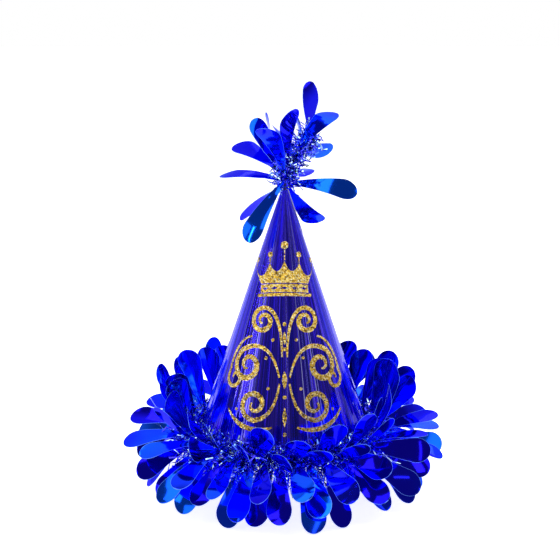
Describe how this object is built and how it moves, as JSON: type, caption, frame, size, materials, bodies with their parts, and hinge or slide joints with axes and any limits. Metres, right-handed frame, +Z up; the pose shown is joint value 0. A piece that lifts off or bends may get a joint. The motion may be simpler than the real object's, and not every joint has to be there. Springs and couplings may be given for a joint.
{
  "type": "party hat",
  "caption": "Cone party hat of rolled foil card with a gold glitter crown and scrollwork, a foil-leaf garland round the hem and a tuft of it at the tip.",
  "frame": {"origin": "centre of the hat's footprint, on the surface that its lowest leaves stand on", "axes": "+Z up the cone's axis to the tip, -Y out of the front that bears the print, +X to the wearer's left"},
  "size_m": [0.2123, 0.2118, 0.267],
  "materials": {
    "foil_card": "blue mirror foil on card, streaked along the cone",
    "gold_glitter": "coarse gold glitter, raised",
    "leaf_film": "metallised blue film, mirror gloss",
    "fringe_film": "metallised blue film, cut fine",
    "core_thread": "twisted dark blue thread",
    "hot_melt": "cloudy hot-melt glue"
  },
  "bodies": {
    "root": {"cone_card": "foil_card", "crown_print": "gold_glitter", "scroll_print": "gold_glitter", "brim_core": "core_thread", "brim_fringe": "fringe_film", "brim_glue": "hot_melt", "brim_leaves_01": "leaf_film", "brim_leaves_02": "leaf_film", "brim_leaves_03": "leaf_film", "brim_leaves_04": "leaf_film", "brim_leaves_05": "leaf_film", "brim_leaves_06": "leaf_film", "brim_leaves_07": "leaf_film", "brim_leaves_08": "leaf_film", "brim_leaves_09": "leaf_film", "brim_leaves_10": "leaf_film", "brim_leaves_11": "leaf_film", "brim_leaves_12": "leaf_film", "brim_leaves_13": "leaf_film", "brim_leaves_14": "leaf_film", "brim_leaves_15": "leaf_film", "brim_leaves_16": "leaf_film", "brim_leaves_17": "leaf_film", "brim_leaves_18": "leaf_film", "brim_leaves_19": "leaf_film", "brim_leaves_20": "leaf_film", "brim_leaves_21": "leaf_film", "brim_leaves_22": "leaf_film", "tip_core": "core_thread", "tip_fringe": "fringe_film", "tip_glue": "hot_melt", "tip_leaf_01": "leaf_film", "tip_leaf_02": "leaf_film", "tip_leaf_03": "leaf_film", "tip_leaf_04": "leaf_film", "tip_leaf_05": "leaf_film", "tip_leaf_06": "leaf_film", "tip_leaf_07": "leaf_film", "tip_leaf_08": "leaf_film", "tip_leaf_09": "leaf_film", "tip_leaf_10": "leaf_film", "tip_leaf_11": "leaf_film", "tip_leaf_12": "leaf_film", "tip_leaf_13": "leaf_film", "tip_leaf_14": "leaf_film", "tip_leaf_15": "leaf_film", "tip_leaf_16": "leaf_film"}
  },
  "joints": []
}
